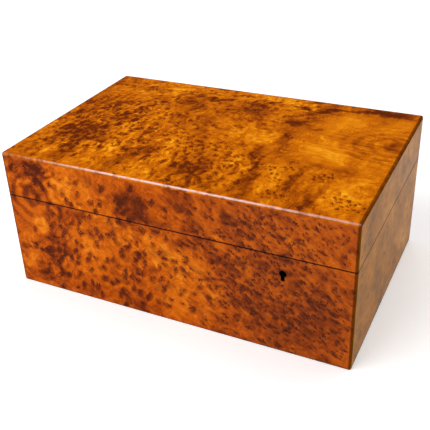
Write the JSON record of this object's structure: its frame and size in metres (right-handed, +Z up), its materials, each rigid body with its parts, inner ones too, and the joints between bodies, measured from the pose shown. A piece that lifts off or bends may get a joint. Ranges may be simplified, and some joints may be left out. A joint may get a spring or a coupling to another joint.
{
  "type": "hinged keepsake box",
  "caption": "Rectangular burl-veneered wooden box for papers and keepsakes, with a hinged lid on stop hinges, cedar liners and a cut-in lock.",
  "frame": {"origin": "middle of the underside, on the surface that the box stands on", "axes": "+X to the right along the length, +Y from the front to the back, +Z up"},
  "size_m": [0.3, 0.2026, 0.126],
  "materials": {
    "burl_veneer": "high-gloss lacquer over figured burl",
    "core_wood": "bare planed wood",
    "cedar": "waxed cedar",
    "lining_felt": "dark red felt",
    "underside_felt": "dark green felt",
    "brass": "polished, slightly dulled",
    "brass_screw": "slotted, turned",
    "spring_steel": "blued spring strip"
  },
  "bodies": {
    "base": {"base_back_veneer": "burl_veneer", "base_back_wall": "core_wood", "base_felt": "underside_felt", "base_floor": "core_wood", "base_front_veneer": "burl_veneer", "base_front_wall": "core_wood", "base_left_veneer": "burl_veneer", "base_left_wall": "core_wood", "base_right_veneer": "burl_veneer", "base_right_wall": "core_wood", "bolt_spring": "spring_steel", "bolt_stump": "brass", "floor_felt": "lining_felt", "hinge_base_screws": "brass_screw", "hinge_left_base_leaf": "brass", "hinge_left_pin": "brass", "hinge_right_base_leaf": "brass", "hinge_right_pin": "brass", "liner_back": "cedar", "liner_front": "cedar", "liner_left": "cedar", "liner_right": "cedar", "lock_cap": "brass", "lock_case": "brass", "lock_drill_pin": "brass", "lock_screws": "brass_screw"},
    "lid": {"hinge_left_lid_leaf": "brass", "hinge_lid_screws": "brass_screw", "hinge_right_lid_leaf": "brass", "lid_back_veneer": "burl_veneer", "lid_back_wall": "core_wood", "lid_front_veneer": "burl_veneer", "lid_front_wall": "core_wood", "lid_inner_veneer": "cedar", "lid_left_veneer": "burl_veneer", "lid_left_wall": "core_wood", "lid_right_veneer": "burl_veneer", "lid_right_wall": "core_wood", "lid_top_panel": "core_wood", "lid_top_veneer": "burl_veneer", "link_plate": "brass", "link_plate_screws": "brass_screw"},
    "bolt": {"lock_bolt": "brass"}
  },
  "joints": [
    {"name": "lid_hinge", "type": "hinge", "parent": "base", "child": "lid", "pos_m": [0, 0.1002, 0.087], "axis": [-1, 0, 0], "range_deg": [0, 95]},
    {"name": "bolt_slide", "type": "slide", "parent": "base", "child": "bolt", "axis": [1, 0, 0], "range_m": [0, 0.003]}
  ]
}
